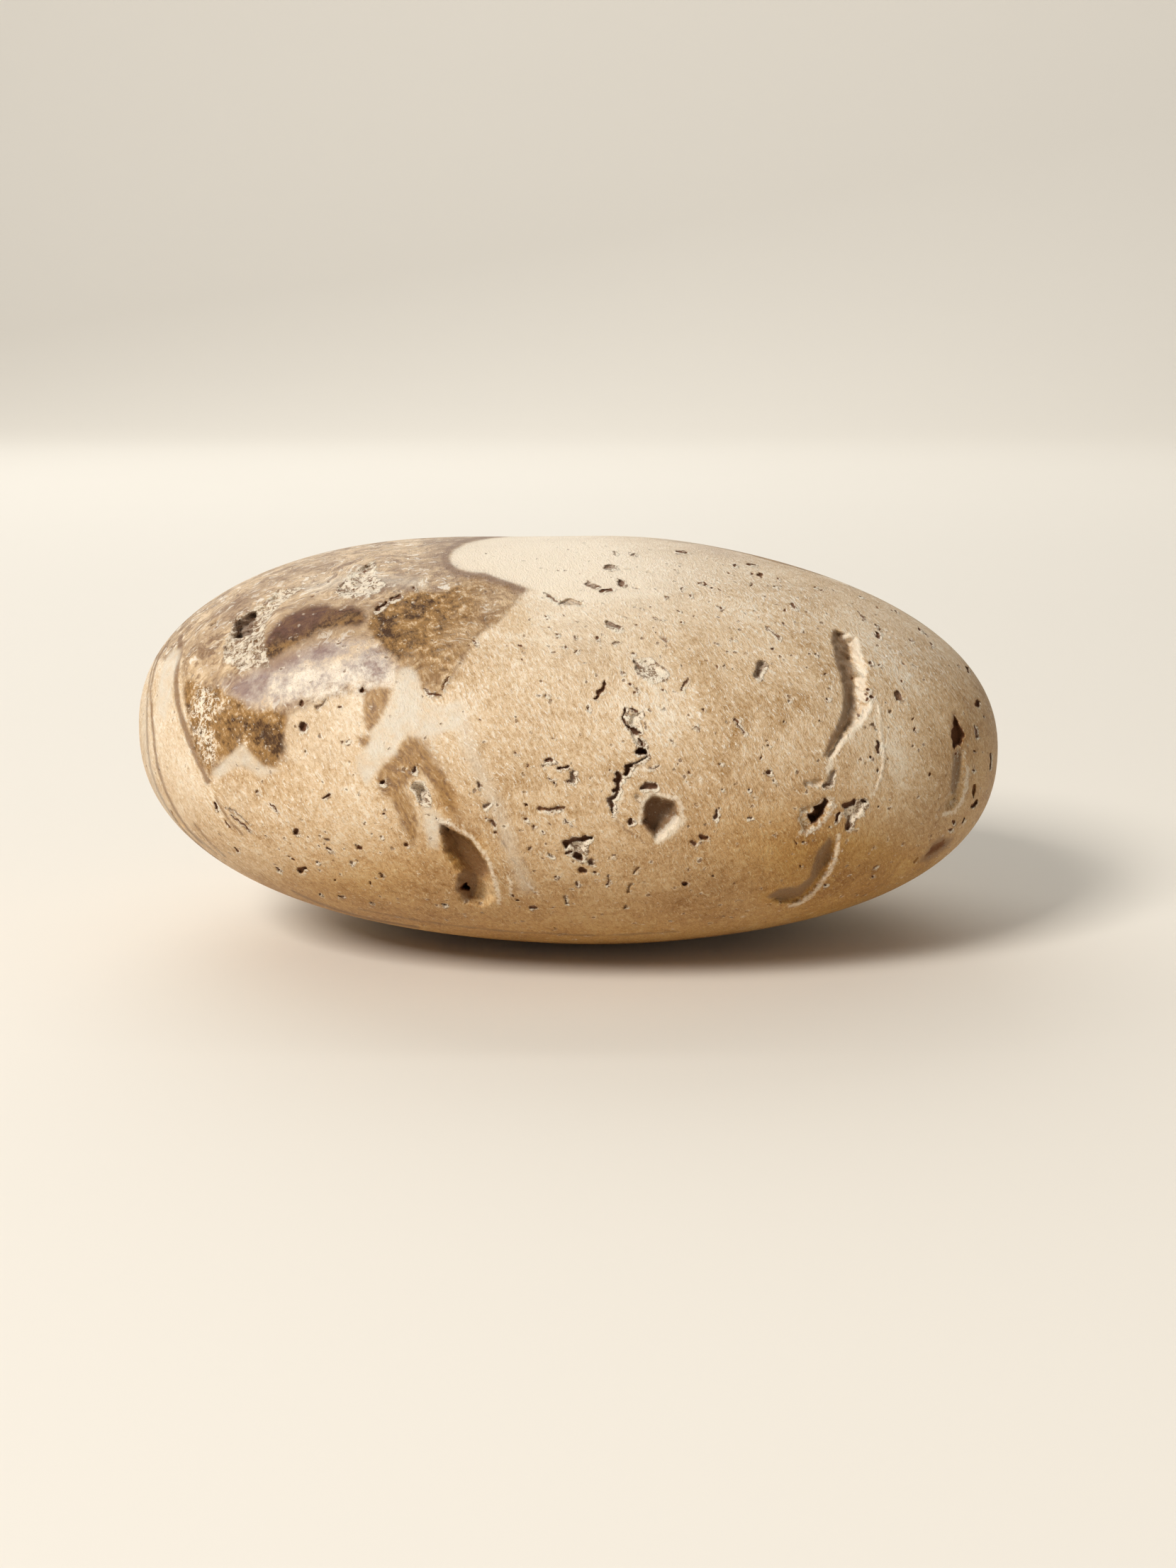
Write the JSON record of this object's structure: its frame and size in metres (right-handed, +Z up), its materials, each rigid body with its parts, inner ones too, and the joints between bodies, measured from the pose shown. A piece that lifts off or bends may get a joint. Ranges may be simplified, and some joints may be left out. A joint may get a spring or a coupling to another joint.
{
  "type": "calcite palm stone",
  "caption": "Hand-sized polished ovoid of banded tan calcite with natural pits and grooves, lying on its broad side.",
  "frame": {"origin": "middle of the bounding box, on the surface the stone rests on", "axes": "+X along the length, +Z up as it lies, and the broad polished face with the large hollows looks to -Y"},
  "size_m": [0.0798, 0.058, 0.0367],
  "materials": {
    "calcite": "satin polish on banded warm tan calcite, with cream, brown and smoky grey bands, fine fibrous grain and chalky white linings in its pits"
  },
  "bodies": {
    "root": {"palm_stone": "calcite"}
  },
  "joints": []
}
